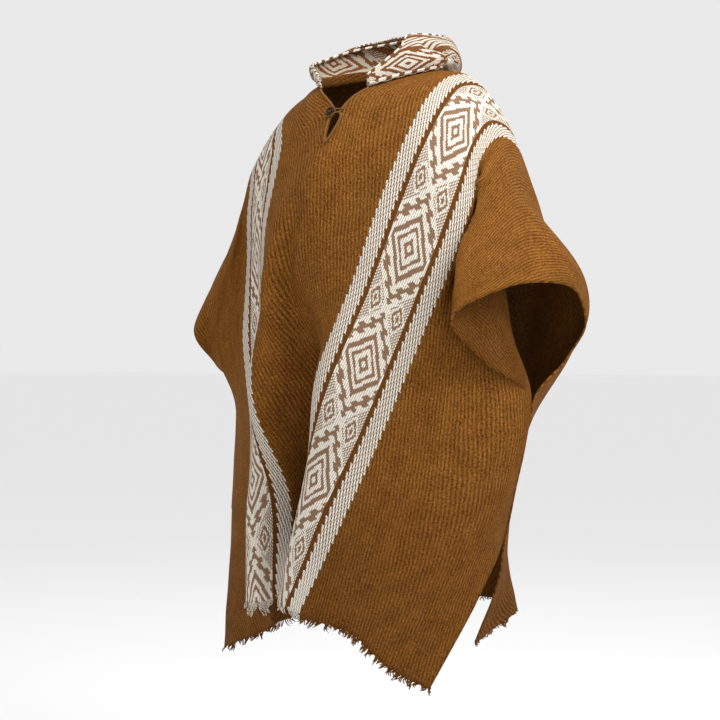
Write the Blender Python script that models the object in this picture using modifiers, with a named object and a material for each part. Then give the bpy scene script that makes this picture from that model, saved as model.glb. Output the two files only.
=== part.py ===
"""A hooded poncho of heavy wool, held as worn: a long cloth over the shoulders, with a slit for the neck,
sides that are joined for a short seam, a hood that lies round the neck, and a cut fringe on both hems.

The cloth is drawn in its own measures. "across" runs from the wearer's right selvedge to the left one and
"along" runs from the shoulder fold down to a hem. The fold tables give the place of each warp line that lies
on a fold, and the cloth is a smooth sheet through them. +X is the wearer's left, -Y the front and +Z up,
and the origin is where the garment rests, between the shoulders at the base of the neck.
"""

import math
import random

import bmesh
import bpy
import numpy as np
from mathutils import Vector

MM = 0.001

HALF_WIDTH = 550
HALF_LENGTH = 900
THICKNESS = 3.0
SEAM_GAP = 0.3
SHOULDER_GAP = 0.2
HEM_GAP = 0.9
COLUMN_STEP = 31
FRONT_ROW_STEP = 38
BACK_ROW_STEP = 42

SEAM_TOP = 400
SEAM_END = 600
SEAM_HALF_GAP = 2.0

BAND_INNER = 120
BAND_OUTER = 258

SLIT_TOP = 160
SLIT_END = 205
SLIT_HALF_GAP = 6.5
NECK_BACK = 100
SLIT_CLOSING = 15

FRINGE_LENGTH = 13
FRINGE_ROOT = 4

FRINGE_THICKNESS = 2.2
FRONT_TUFTS = 70
BACK_TUFTS = 56
TUFT_SHARE = 0.55

EDGING_RADIUS = 1.4
EDGING_INSET = 3.5

BUTTON_DIAMETER = 16
BUTTON_THICKNESS = 3.6
BUTTON_CLEARANCE = 3.4
BUTTON_ACROSS = 6
BUTTON_ALONG = 156
LOOP_RADIUS = 1.1

# Levels along the warp, from the shoulder fold down, at which the folds are given
FRONT_LEVELS = (80, 160, 280, 400, 600, 750, 900)
BACK_LEVELS = (80, 160, 280, 400, 600, 750, 900)

# The shoulder fold: across, then x, y, z. The neck slit has an edge on each side of the middle
SHOULDER = {
    "right selvedge": (-550, (-350, -20, -300)),
    "right cuff": (-464, (-305, -10, -225)),
    "right arm": (-361, (-262, -5, -148)),
    "right band, outer edge": (-258, (-228, 0, -92)),
    "right band, middle": (-189, (-190, 0, -45)),
    "right band, inner edge": (-120, (-150, -2, -2)),
    "right breast": (-60, (-132, 0, 10)),
    "beside the slit": (-30, (-124, 0, 14)),
    "slit, right edge": (0, (-115, 0, 18)),
    "slit, left edge": (0, (100, 0, 18)),
    "left breast": (60, (118, 0, 14)),
    "left band, inner edge": (120, (136, -2, 6)),
    "left band, middle": (189, (182, 0, -42)),
    "left band, outer edge": (258, (225, 0, -100)),
    "left arm, front": (310, (248, -18, -140)),
    "left arm": (361, (270, -40, -185)),
    "left cuff": (464, (310, -65, -270)),
    "left selvedge": (550, (345, -90, -337)),
}

# Below the shoulder at each of the front levels: chest, cuff corner, under the cuff, top of the side seam,
# its end, thigh and hem
FRONT = {
    "right selvedge": ((-340, -62, -338), (-328, -112, -400), (-324, -60, -462), (-320, -5, -520),
                       (-328, -10, -715), (-335, -15, -850), (-342, -22, -965)),
    "right cuff": ((-292, -60, -262), (-280, -100, -318), (-290, -95, -430), (-285, -55, -520),
                   (-270, -60, -690), (-255, -60, -820), (-240, -60, -930)),
    "right arm": ((-255, -60, -182), (-252, -90, -245), (-262, -100, -355), (-240, -100, -470),
                  (-205, -105, -640), (-178, -105, -775), (-150, -105, -890)),
    "right band, outer edge": ((-235, -58, -118), (-235, -75, -180), (-228, -88, -290), (-218, -108, -405),
                               (-158, -155, -590), (-137, -188, -722), (-133, -200, -846)),
    "right band, middle": ((-196, -68, -78), (-185, -97, -132), (-180, -118, -250), (-168, -125, -370),
                           (-128, -185, -560), (-94, -228, -690), (-68, -248, -838)),
    "right band, inner edge": ((-152, -75, -42), (-122, -122, -105), (-122, -158, -222), (-125, -168, -342),
                               (-98, -220, -525), (-58, -182, -672), (-60, -185, -822)),
    "right breast": ((-108, -90, -28), (-70, -132, -85), (-75, -178, -207), (-88, -202, -328),
                     (-52, -168, -510), (-45, -138, -658), (-50, -130, -806)),
    "beside the slit": ((-84, -95, -18), (-36, -134, -70), (-42, -180, -190), (-64, -172, -318),
                        (-32, -142, -500), (-28, -112, -650), (-32, -98, -798)),
    "slit, right edge": ((-58, -98, -10), (-2, -131, -58), (-10, -184, -172), (-38, -184, -305),
                         (-12, -122, -492), (-8, -95, -642), (-10, -80, -792)),
    "slit, left edge": ((30, -90, -16), (2, -131, -58), (-10, -184, -172), (-38, -184, -305),
                        (-12, -122, -492), (-8, -95, -642), (-10, -80, -792)),
    "left breast": ((88, -86, -26), (68, -134, -90), (50, -174, -205), (28, -200, -320),
                    (22, -190, -500), (10, -150, -650), (5, -135, -798)),
    "left band, inner edge": ((143, -78, -35), (136, -122, -95), (112, -165, -203), (92, -200, -315),
                              (48, -250, -500), (15, -215, -648), (0, -200, -796)),
    "left band, middle": ((196, -74, -88), (196, -120, -148), (178, -162, -255), (152, -198, -365),
                          (102, -254, -545), (44, -272, -680), (-2, -274, -824)),
    "left band, outer edge": ((235, -72, -143), (247, -110, -205), (237, -155, -310), (209, -188, -415),
                              (156, -240, -592), (116, -280, -712), (60, -305, -836)),
    "left arm, front": ((250, -92, -180), (262, -92, -230), (262, -118, -318), (238, -158, -430),
                        (192, -215, -612), (152, -264, -732), (100, -304, -845)),
    "left arm": ((262, -110, -222), (262, -155, -270), (278, -88, -322), (262, -125, -440),
                 (224, -190, -628), (184, -243, -748), (140, -293, -853)),
    "left cuff": ((300, -145, -298), (278, -205, -345), (290, -105, -388), (302, -45, -490),
                  (270, -85, -675), (235, -172, -790), (195, -265, -905)),
    "left selvedge": ((325, -165, -352), (282, -217, -389), (285, -137, -457), (300, -28, -528),
                      (258, -30, -712), (262, -122, -820), (245, -225, -940)),
}

# Below the shoulder at each of the back levels
BACK = {
    "right selvedge": ((-372, 40, -338), (-362, 68, -400), (-335, 38, -470), (-320, -5, -520),
                       (-328, -10, -715), (-334, 15, -840), (-335, 40, -948)),
    "right cuff": ((-325, 45, -262), (-325, 78, -325), (-305, 85, -430), (-292, 70, -535),
                   (-282, 90, -705), (-272, 125, -820), (-262, 150, -912)),
    "right arm": ((-275, 55, -180), (-275, 92, -245), (-268, 112, -358), (-258, 118, -475),
                  (-235, 122, -665), (-212, 132, -800), (-190, 142, -915)),
    "right band, outer edge": ((-235, 62, -105), (-230, 102, -170), (-222, 128, -284), (-212, 142, -400),
                               (-188, 172, -594), (-162, 200, -738), (-132, 232, -878)),
    "right band, middle": ((-195, 66, -55), (-188, 108, -118), (-180, 132, -232), (-172, 146, -350),
                           (-150, 162, -546), (-130, 175, -694), (-108, 188, -842)),
    "right band, inner edge": ((-150, 68, -15), (-142, 112, -75), (-135, 135, -192), (-128, 145, -311),
                               (-110, 148, -509), (-97, 138, -657), (-85, 125, -805)),
    "right breast": ((-95, 80, 12), (-72, 115, -52), (-70, 140, -168), (-68, 152, -286),
                     (-60, 165, -484), (-57, 172, -632), (-56, 178, -780)),
    "beside the slit": ((-70, 84, 22), (-38, 114, -38), (-37, 142, -156), (-36, 154, -274),
                        (-36, 174, -471), (-39, 192, -618), (-42, 208, -765)),
    "slit, right edge": ((-45, 88, 30), (-5, 112, -28), (-5, 142, -146), (-5, 156, -264),
                         (-12, 182, -460), (-20, 208, -606), (-28, 232, -752)),
    "slit, left edge": ((35, 88, 30), (-5, 112, -28), (-5, 142, -146), (-5, 156, -264),
                        (-12, 182, -460), (-20, 208, -606), (-28, 232, -752)),
    "left breast": ((88, 80, 10), (65, 115, -52), (60, 140, -168), (55, 152, -286),
                    (38, 165, -484), (18, 172, -632), (-3, 178, -780)),
    "left band, inner edge": ((138, 68, 2), (132, 115, -78), (125, 138, -195), (115, 150, -314),
                              (85, 150, -512), (52, 140, -660), (22, 122, -808)),
    "left band, middle": ((188, 66, -52), (185, 112, -125), (172, 136, -242), (158, 146, -360),
                          (118, 158, -556), (85, 168, -700), (58, 175, -838)),
    "left band, outer edge": ((224, 60, -118), (222, 104, -185), (215, 132, -300), (195, 140, -415),
                              (150, 165, -610), (112, 190, -740), (90, 222, -855)),
    "left arm, front": ((243, 50, -158), (242, 98, -215), (238, 122, -328), (214, 120, -445),
                        (166, 128, -632), (118, 150, -758), (95, 168, -852)),
    "left arm": ((260, 36, -200), (262, 88, -250), (262, 108, -360), (235, 95, -475),
                 (185, 100, -655), (125, 115, -775), (85, 112, -850)),
    "left cuff": ((345, 5, -290), (338, 80, -340), (303, 82, -445), (252, 52, -550),
                  (215, 45, -705), (182, 95, -792), (168, 148, -868)),
    "left selvedge": ((368, -15, -345), (354, 48, -392), (325, 32, -455), (300, -28, -528),
                      (258, -30, -712), (200, 30, -825), (122, 86, -925)),
}

# The hood round the neck, from its right front end round the back to the left one: the side of the slit and
# the place along its edge where the seam passes, then how far out from the neck and up from the seam lie its
# belly, side, crest and free edge
NECK_CENTRE = (-8, 0)
HOOD_RAISE = 3.8
HOOD = {
    "right end": (-1, 80, (3, 4), (5, 9), (6, 14), (6, 19)),
    "right front": (-1, 40, (9, 4), (17, 12), (19, 24), (15, 30)),
    "right side": (-1, 0, (20, 4), (30, 14), (30, 28), (24, 36)),
    "right back": (-1, -40, (26, 2), (46, 18), (50, 44), (40, 52)),
    "back, right": (-1, -80, (40, -12), (58, 14), (48, 54), (30, 66)),
    "back": (-1, -100, (50, -24), (67, 6), (48, 62), (28, 82)),
    "back, left": (1, -80, (38, -14), (54, 10), (42, 50), (26, 62)),
    "left back": (1, -40, (20, 0), (32, 14), (18, 36), (-14, 54)),
    "left side": (1, 0, (9, 8), (9, 22), (-16, 42), (-52, 60)),
    "left front": (1, 40, (6, 8), (5, 20), (-3, 34), (-18, 46)),
    "left end": (1, 80, (2, 4), (3, 9), (2, 14), (0, 19)),
}
HOOD_STEPS = 4
PROFILE_STEPS = 2

COLOURS = {
    "brown wool": (0.235, 0.085, 0.022),
    "patterned wool": (0.45, 0.33, 0.22),
    "button": (0.055, 0.022, 0.02),
}


def clear_scene():
    for leftover in list(bpy.data.objects):
        bpy.data.objects.remove(leftover)


def material(name, roughness=0.9):
    made = bpy.data.materials.new(name)
    made.use_nodes = True
    shader = made.node_tree.nodes["Principled BSDF"]
    shader.inputs["Base Color"].default_value = (*COLOURS[name], 1)
    shader.inputs["Roughness"].default_value = roughness
    return made


def add_object(name, mesh, paint, collection):
    made = bpy.data.objects.new(name, mesh)
    mesh.materials.append(paint)
    collection.objects.link(made)
    return made


def slopes(knots, values):
    """The slope at each knot of the parabola through it and its two neighbours."""
    steps = np.diff(knots)[:, None]
    rises = np.diff(values, axis=0) / steps
    inner = (rises[:-1] * steps[1:] + rises[1:] * steps[:-1]) / (steps[1:] + steps[:-1])
    return np.concatenate([rises[:1], inner, rises[-1:]])


def through(knots, values, places, given=None):
    """Points at places on a smooth curve that passes through values at knots."""
    knots = np.asarray(knots, float)
    values = np.asarray(values, float)
    rate = slopes(knots, values) if given is None else given
    places = np.clip(np.asarray(places, float), knots[0], knots[-1])
    low = np.clip(np.searchsorted(knots, places, side="right") - 1, 0, len(knots) - 2)
    step = (knots[low + 1] - knots[low])[:, None]
    s = ((places - knots[low])[:, None]) / step
    return (
        (1 + 2 * s) * (1 - s) ** 2 * values[low]
        + s * (1 - s) ** 2 * step * rate[low]
        + s * s * (3 - 2 * s) * values[low + 1]
        + s * s * (s - 1) * step * rate[low + 1]
    )


def warp_line(name):
    """(levels, points, slopes) of one fold, from the back hem over the shoulder to the front hem."""
    levels = [-v for v in reversed(BACK_LEVELS)] + [0] + list(FRONT_LEVELS)
    points = np.array(list(reversed(BACK[name])) + [SHOULDER[name][1]] + list(FRONT[name]), float)
    rate = slopes(np.asarray(levels, float), points)
    if "selvedge" in name:
        for top, end in ((SEAM_TOP, SEAM_END), (-SEAM_END, -SEAM_TOP)):
            first, last = levels.index(top), levels.index(end)
            seam = (points[last] - points[first]) / (end - top)
            rate[first] = rate[last] = seam
    return levels, points, rate


def slit_openness(along):
    """1 where the neck slit is open and 0 where the two halves are one cloth."""
    front = np.clip((SLIT_END - along) / (SLIT_END - SLIT_TOP), 0, 1)
    back = np.clip((along + NECK_BACK) / SLIT_CLOSING, 0, 1)
    return np.minimum(front, back)


def half_cloth(side, columns, rows):
    """Points of the cloth on one side of its middle: [row, column], in mm. columns runs from 0 to HALF_WIDTH."""
    names = [n for n, (across, _) in SHOULDER.items() if across * side > 0]
    names.sort(key=lambda n: abs(SHOULDER[n][0]))
    middle, other = (
        ("slit, left edge", "right breast") if side > 0 else ("slit, right edge", "left breast")
    )
    names = [middle] + names
    knots = np.array([abs(SHOULDER[n][0]) for n in names], float)
    lines = {}
    for name in [other, "slit, left edge", "slit, right edge"] + names:
        levels, points, rate = warp_line(name)
        lines[name] = through(levels, points, rows, rate)
    openness = slit_openness(np.asarray(rows, float))
    closed = (lines["slit, left edge"] + lines["slit, right edge"]) / 2
    lines[middle] = closed + (lines[middle] - closed) * openness[:, None]
    sheet = []
    for row in range(len(rows)):
        values = np.array([lines[name][row] for name in names])
        rate = slopes(knots, values)
        across_middle = (values[2] - lines[other][row]) / (knots[2] + abs(SHOULDER[other][0]))
        rate[0] = openness[row] * rate[0] + (1 - openness[row]) * across_middle
        sheet.append(through(knots, values, columns, rate))
    return np.array(sheet)


def slit_gap(along):
    """Half the width of the almond-shaped opening below the button."""
    share = (along - SLIT_TOP) / (SLIT_END - SLIT_TOP)
    if not 0 < share < 1:
        return 0.0
    return SLIT_HALF_GAP * math.sin(math.pi * share) ** 0.8


def open_slit(side, rows, sheet, columns):
    """Moves the cloth beside the almond away from the middle, less and less with the distance from it."""
    for row, along in enumerate(rows):
        gap = slit_gap(along) + (1.0 if 0 <= along < SLIT_END else 0.0)
        for column, across in enumerate(columns):
            sheet[row, column, 0] += side * gap * max(0.0, 1 - across / 52)
    return sheet


def panel_mesh(name, rows, columns, slit_end):
    """One wall of cloth from the two halves, which share their middle line where the slit has ended."""
    bm = bmesh.new()
    grid = {}
    for side in (-1, 1):
        sheet = open_slit(side, rows, half_cloth(side, columns, rows), columns)
        for row, along in enumerate(rows):
            for column in range(len(columns)):
                joined = column == 0 and abs(along) >= slit_end
                if joined and side == 1:
                    grid[side, row, column] = grid[-1, row, column]
                    continue
                place = sheet[row, column].copy()
                if columns[column] == HALF_WIDTH and SEAM_TOP <= abs(along) <= SEAM_END:
                    place[1] += math.copysign(SEAM_HALF_GAP, -along)
                grid[side, row, column] = bm.verts.new(Vector(place * MM))
        for row in range(len(rows) - 1):
            for column in range(len(columns) - 1):
                corners = [
                    grid[side, row, column],
                    grid[side, row + 1, column],
                    grid[side, row + 1, column + 1],
                    grid[side, row, column + 1],
                ]
                bm.faces.new(corners if side > 0 else corners[::-1])
    mesh = bpy.data.meshes.new(name)
    bmesh.ops.recalc_face_normals(bm, faces=bm.faces)
    bm.to_mesh(mesh)
    bm.free()
    mesh.shade_smooth()
    return mesh


def thicken(made, thickness):
    wall = made.modifiers.new("thickness", "SOLIDIFY")
    wall.thickness = thickness * MM
    wall.offset = 0
    return made


def spread(stops, most):
    """Places from the first stop to the last, with each stop among them and steps of at most the given size."""
    places = [stops[0]]
    for start, end in zip(stops, stops[1:]):
        count = max(1, math.ceil((end - start) / most - 0.01))
        places += [start + (end - start) * (i + 1) / count for i in range(count)]
    return places


def panel_columns():
    return spread([0, 60, BAND_INNER, BAND_OUTER, 361, HALF_WIDTH], COLUMN_STEP)


def front_rows():
    stops = [SHOULDER_GAP, 5, 16, 80, 135, SLIT_TOP, 172, 182, 194, SLIT_END, 280, SEAM_TOP, SEAM_END, HALF_LENGTH]
    return spread(stops, FRONT_ROW_STEP)


def back_rows():
    stops = [SHOULDER_GAP, 5, 16, 80, 86, 93, NECK_BACK, 160, 280, SEAM_TOP, SEAM_END, HALF_LENGTH]
    return [-along for along in reversed(spread(stops, BACK_ROW_STEP))]


def add_panels(collection, paint):
    for name, rows, slit_end in (
        ("front_panel", front_rows(), SLIT_END),
        ("back_panel", back_rows(), NECK_BACK),
    ):
        panel = add_object(name, panel_mesh(name, rows, panel_columns(), slit_end), paint, collection)
        thicken(panel, THICKNESS)


def cloth_point(side, across, along):
    return half_cloth(side, [across], [along])[0, 0]


def lifted(side, across, along, height):
    """A point over the outside of the cloth, and the cloth's outward direction there."""
    here = Vector(cloth_point(side, across, along))
    beside = Vector(cloth_point(side, across + 5, along)) - here
    below = Vector(cloth_point(side, across, along + 5)) - here
    outward = beside.cross(below).normalized() * -side
    edge = Vector((side * slit_gap(along), 0, 0))
    return here + edge + outward * height, outward


def hood_rows():
    """The hood's points in mm, a row for each place along the neck and a column down its width."""
    seams, offsets = [], []
    for side, along, *width in HOOD.values():
        seam = cloth_point(side, 0, along) + np.array((0, 0, HOOD_RAISE))
        out = np.array((seam[0] - NECK_CENTRE[0], seam[1] - NECK_CENTRE[1], 0))
        out /= np.linalg.norm(out)
        seams.append(seam)
        offsets.append([np.zeros(3)] + [out * reach + np.array((0, 0, up)) for reach, up in width])
    stations = np.array(seams)[:, None] + np.array(offsets)
    count = len(stations)
    places = np.linspace(0, count - 1, (count - 1) * HOOD_STEPS + 1)
    columns = np.array([through(range(count), stations[:, c], places) for c in range(stations.shape[1])])
    widths = columns.shape[0]
    down = np.linspace(0, widths - 1, (widths - 1) * PROFILE_STEPS + 1)
    return np.array([through(range(widths), columns[:, place], down) for place in range(len(places))])


def sheet_mesh(name, rows):
    bm = bmesh.new()
    grid = [[bm.verts.new(Vector(point * MM)) for point in row] for row in rows]
    for low, high in zip(grid, grid[1:]):
        for a, b, c, d in zip(low, high, high[1:], low[1:]):
            bm.faces.new((a, b, c, d))
    mesh = bpy.data.meshes.new(name)
    bm.to_mesh(mesh)
    bm.free()
    mesh.shade_smooth()
    return mesh


def tube(name, points, radius, paint, collection):
    curve = bpy.data.curves.new(name, "CURVE")
    curve.dimensions = "3D"
    curve.bevel_depth = radius * MM
    curve.bevel_resolution = 1
    curve.use_fill_caps = True
    line = curve.splines.new("POLY")
    line.points.add(len(points) - 1)
    for point, place in zip(line.points, points):
        point.co = (*(Vector(place) * MM), 1)
    return add_object(name, curve, paint, collection)


def add_slit_edging(collection, paint):
    """The rolled and stitched edge round the opening, lying on the front of the cloth."""
    height = THICKNESS / 2 + EDGING_RADIUS + SEAM_GAP
    places = [SLIT_TOP + 8 + i * (SLIT_END - SLIT_TOP - 8) / 6 for i in range(7)]
    down = [lifted(1, EDGING_INSET, along, height)[0] for along in places]
    turn = [lifted(1, 0, SLIT_END + EDGING_INSET, height)[0]]
    up = [lifted(-1, EDGING_INSET, along, height)[0] for along in reversed(places)]
    tube("slit_edging", down + turn + up, EDGING_RADIUS, paint, collection)


def button_seat():
    height = THICKNESS / 2 + SEAM_GAP + BUTTON_CLEARANCE + BUTTON_THICKNESS / 2
    return lifted(-1, BUTTON_ACROSS, BUTTON_ALONG, height)


def add_button(collection, paint):
    centre, outward = button_seat()
    bm = bmesh.new()
    radius = BUTTON_DIAMETER / 2 * MM
    bmesh.ops.create_cone(
        bm, cap_ends=True, segments=24, radius1=radius, radius2=radius, depth=BUTTON_THICKNESS * MM
    )
    mesh = bpy.data.meshes.new("button")
    bm.to_mesh(mesh)
    bm.free()
    made = add_object("button", mesh, paint, collection)
    made.location = centre * MM
    made.rotation_euler = outward.to_track_quat("Z", "Y").to_euler()
    rim = made.modifiers.new("rim", "BEVEL")
    rim.width = 0.8 * MM
    rim.segments = 2
    mesh.shade_smooth()
    mesh.set_sharp_from_angle(angle=math.radians(40))


def add_button_loop(collection, paint):
    """A cord from the left edge of the slit round the button and back."""
    centre, outward = button_seat()
    left = Vector((1, 0, 0)) - outward * outward.x
    left.normalize()
    up = outward.cross(left)
    reach = BUTTON_DIAMETER / 2 + LOOP_RADIUS + SEAM_GAP
    turns = [math.radians(40 + 280 * i / 12) for i in range(13)]
    ring = [centre + reach * (math.cos(turn) * left + math.sin(turn) * up) for turn in turns]
    low = THICKNESS / 2 + LOOP_RADIUS + SEAM_GAP
    ends = [lifted(1, 14, BUTTON_ALONG + below, low)[0] for below in (-7, -1)]
    tube("button_loop", ends[:1] + ring + ends[1:], LOOP_RADIUS, paint, collection)


def hem_edge(across, toward):
    """A point of the panel's hem and the direction in which it ends. toward is 1 at the front and -1 at the back."""
    last = front_rows()[-2:] if toward > 0 else back_rows()[1::-1]
    columns = panel_columns()
    above, end = half_cloth(1 if across >= 0 else -1, columns, last)
    share = [np.interp(abs(across), columns, line[:, axis]) for line in (above, end) for axis in range(3)]
    end = Vector(share[3:])
    return end, (end - Vector(share[:3])).normalized()


def add_fringe(name, toward, count, collection, paint):
    """Tufts on a narrow strip that hangs just below the hem."""
    wobble = random.Random(7 + toward)
    pitch = (2 * HALF_WIDTH - FRINGE_ROOT) / count
    bm = bmesh.new()
    top, bottom = [], []
    for i in range(count + 1):
        start = -HALF_WIDTH + i * pitch
        for across in (start, start + (FRINGE_ROOT if i == count else pitch * TUFT_SHARE)):
            end, down = hem_edge(min(across, HALF_WIDTH), toward)
            top.append(bm.verts.new((end + down * HEM_GAP) * MM))
            bottom.append(bm.verts.new((end + down * (HEM_GAP + FRINGE_ROOT)) * MM))
    for i in range(len(top) - 1):
        bm.faces.new((top[i], bottom[i], bottom[i + 1], top[i + 1]))
    for i in range(count):
        left, right = bottom[2 * i], bottom[2 * i + 1]
        _, down = hem_edge(-HALF_WIDTH + i * pitch, toward)
        length = FRINGE_LENGTH * wobble.uniform(0.7, 1.2)
        middle = (left.co + right.co) / 2
        lean = (right.co - left.co).normalized() * wobble.uniform(-4, 4) * MM
        tip = middle + down * length * MM + lean
        half = (right.co - left.co) * 0.18
        bm.faces.new((left, bm.verts.new(tip - half), bm.verts.new(tip + half), right))
    mesh = bpy.data.meshes.new(name)
    bmesh.ops.recalc_face_normals(bm, faces=bm.faces)
    bm.to_mesh(mesh)
    bm.free()
    made = add_object(name, mesh, paint, collection)
    thicken(made, FRINGE_THICKNESS)


def build():
    clear_scene()
    collection = bpy.data.collections.new("hooded_poncho")
    bpy.context.scene.collection.children.link(collection)
    brown = material("brown wool")
    patterned = material("patterned wool")
    horn = material("button", 0.4)
    add_panels(collection, brown)
    hood = add_object("hood", sheet_mesh("hood", hood_rows()), patterned, collection)
    thicken(hood, THICKNESS)
    add_slit_edging(collection, brown)
    add_button(collection, horn)
    add_button_loop(collection, brown)
    add_fringe("fringe_front", 1, FRONT_TUFTS, collection, brown)
    add_fringe("fringe_back", -1, BACK_TUFTS, collection, brown)


build()
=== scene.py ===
"""The worn hooded poncho, dressed for its render: the cloth with its ribs and woven bands, the hood, the
neck's seam and edging, the button and its loop, and the cut fringe.

The tables and the functions that make the cloth are those of the part's source, in millimetres, with the slit
a little wider and longer, because its edging is thicker here. "across" runs from the wearer's right selvedge
to the left one, and "along" from the shoulder fold down to a hem, positive at the front. Every surface
carries its own cloth measures as UVs, in metres, and the weave is drawn from them.
"""

import math
import random

import bmesh
import bpy
import numpy as np
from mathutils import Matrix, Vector


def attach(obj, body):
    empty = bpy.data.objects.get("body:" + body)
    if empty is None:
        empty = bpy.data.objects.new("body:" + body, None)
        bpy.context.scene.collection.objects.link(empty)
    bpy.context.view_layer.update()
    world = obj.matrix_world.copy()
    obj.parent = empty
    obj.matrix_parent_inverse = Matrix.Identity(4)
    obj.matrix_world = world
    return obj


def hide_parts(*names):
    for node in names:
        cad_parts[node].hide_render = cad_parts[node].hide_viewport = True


MM = 0.001

HALF_WIDTH = 550
HALF_LENGTH = 900
THICKNESS = 3.0
SEAM_GAP = 0.3

SEAM_TOP = 400
SEAM_END = 600
SEAM_HALF_GAP = 2.0

BAND_INNER = 120
BAND_OUTER = 258

SLIT_TOP = 160
SLIT_END = 213
SLIT_HALF_GAP = 10.0
NECK_BACK = 100
SLIT_CLOSING = 15

BUTTON_DIAMETER = 16
BUTTON_THICKNESS = 3.6
BUTTON_CLEARANCE = 3.4
BUTTON_ACROSS = 6
BUTTON_ALONG = 156
LOOP_RADIUS = 1.1

# Levels along the warp, from the shoulder fold down, at which the folds are given
LEVELS = (80, 160, 280, 400, 600, 750, 900)

# The shoulder fold: across, then x, y, z. The neck slit has an edge on each side of the middle
SHOULDER = {
    "right selvedge": (-550, (-350, -20, -300)),
    "right cuff": (-464, (-305, -10, -225)),
    "right arm": (-361, (-262, -5, -148)),
    "right band, outer edge": (-258, (-228, 0, -92)),
    "right band, middle": (-189, (-190, 0, -45)),
    "right band, inner edge": (-120, (-150, -2, -2)),
    "right breast": (-60, (-132, 0, 10)),
    "beside the slit": (-30, (-124, 0, 14)),
    "slit, right edge": (0, (-115, 0, 18)),
    "slit, left edge": (0, (100, 0, 18)),
    "left breast": (60, (118, 0, 14)),
    "left band, inner edge": (120, (136, -2, 6)),
    "left band, middle": (189, (182, 0, -42)),
    "left band, outer edge": (258, (225, 0, -100)),
    "left arm, front": (310, (248, -18, -140)),
    "left arm": (361, (270, -40, -185)),
    "left cuff": (464, (310, -65, -270)),
    "left selvedge": (550, (345, -90, -337)),
}

# The front, below the shoulder at each of the levels: chest, cuff corner, under the cuff, top of the side
# seam, its end, thigh and hem
FRONT = {
    "right selvedge": ((-340, -62, -338), (-328, -112, -400), (-324, -60, -462), (-320, -5, -520),
                       (-328, -10, -715), (-335, -15, -850), (-342, -22, -965)),
    "right cuff": ((-292, -60, -262), (-280, -100, -318), (-290, -95, -430), (-285, -55, -520),
                   (-270, -60, -690), (-255, -60, -820), (-240, -60, -930)),
    "right arm": ((-255, -60, -182), (-252, -90, -245), (-262, -100, -355), (-240, -100, -470),
                  (-205, -105, -640), (-178, -105, -775), (-150, -105, -890)),
    "right band, outer edge": ((-235, -58, -118), (-235, -75, -180), (-228, -88, -290), (-218, -108, -405),
                               (-158, -155, -590), (-137, -188, -722), (-133, -200, -846)),
    "right band, middle": ((-196, -68, -78), (-185, -97, -132), (-180, -118, -250), (-168, -125, -370),
                           (-128, -185, -560), (-94, -228, -690), (-68, -248, -838)),
    "right band, inner edge": ((-152, -75, -42), (-122, -122, -105), (-122, -158, -222), (-125, -168, -342),
                               (-98, -220, -525), (-58, -182, -672), (-60, -185, -822)),
    "right breast": ((-108, -90, -28), (-70, -132, -85), (-75, -178, -207), (-88, -202, -328),
                     (-52, -168, -510), (-45, -138, -658), (-50, -130, -806)),
    "beside the slit": ((-84, -95, -18), (-36, -134, -70), (-42, -180, -190), (-64, -172, -318),
                        (-32, -142, -500), (-28, -112, -650), (-32, -98, -798)),
    "slit, right edge": ((-58, -98, -10), (-2, -131, -58), (-10, -184, -172), (-38, -184, -305),
                         (-12, -122, -492), (-8, -95, -642), (-10, -80, -792)),
    "slit, left edge": ((30, -90, -16), (2, -131, -58), (-10, -184, -172), (-38, -184, -305),
                        (-12, -122, -492), (-8, -95, -642), (-10, -80, -792)),
    "left breast": ((88, -86, -26), (68, -134, -90), (50, -174, -205), (28, -200, -320),
                    (22, -190, -500), (10, -150, -650), (5, -135, -798)),
    "left band, inner edge": ((143, -78, -35), (136, -122, -95), (112, -165, -203), (92, -200, -315),
                              (48, -250, -500), (15, -215, -648), (0, -200, -796)),
    "left band, middle": ((196, -74, -88), (196, -120, -148), (178, -162, -255), (152, -198, -365),
                          (102, -254, -545), (44, -272, -680), (-2, -274, -824)),
    "left band, outer edge": ((235, -72, -143), (247, -110, -205), (237, -155, -310), (209, -188, -415),
                              (156, -240, -592), (116, -280, -712), (60, -305, -836)),
    "left arm, front": ((250, -92, -180), (262, -92, -230), (262, -118, -318), (238, -158, -430),
                        (192, -215, -612), (152, -264, -732), (100, -304, -845)),
    "left arm": ((262, -110, -222), (262, -155, -270), (278, -88, -322), (262, -125, -440),
                 (224, -190, -628), (184, -243, -748), (140, -293, -853)),
    "left cuff": ((300, -145, -298), (278, -205, -345), (290, -105, -388), (302, -45, -490),
                  (270, -85, -675), (235, -172, -790), (195, -265, -905)),
    "left selvedge": ((325, -165, -352), (282, -217, -389), (285, -137, -457), (300, -28, -528),
                      (258, -30, -712), (262, -122, -820), (245, -225, -940)),
}

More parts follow.
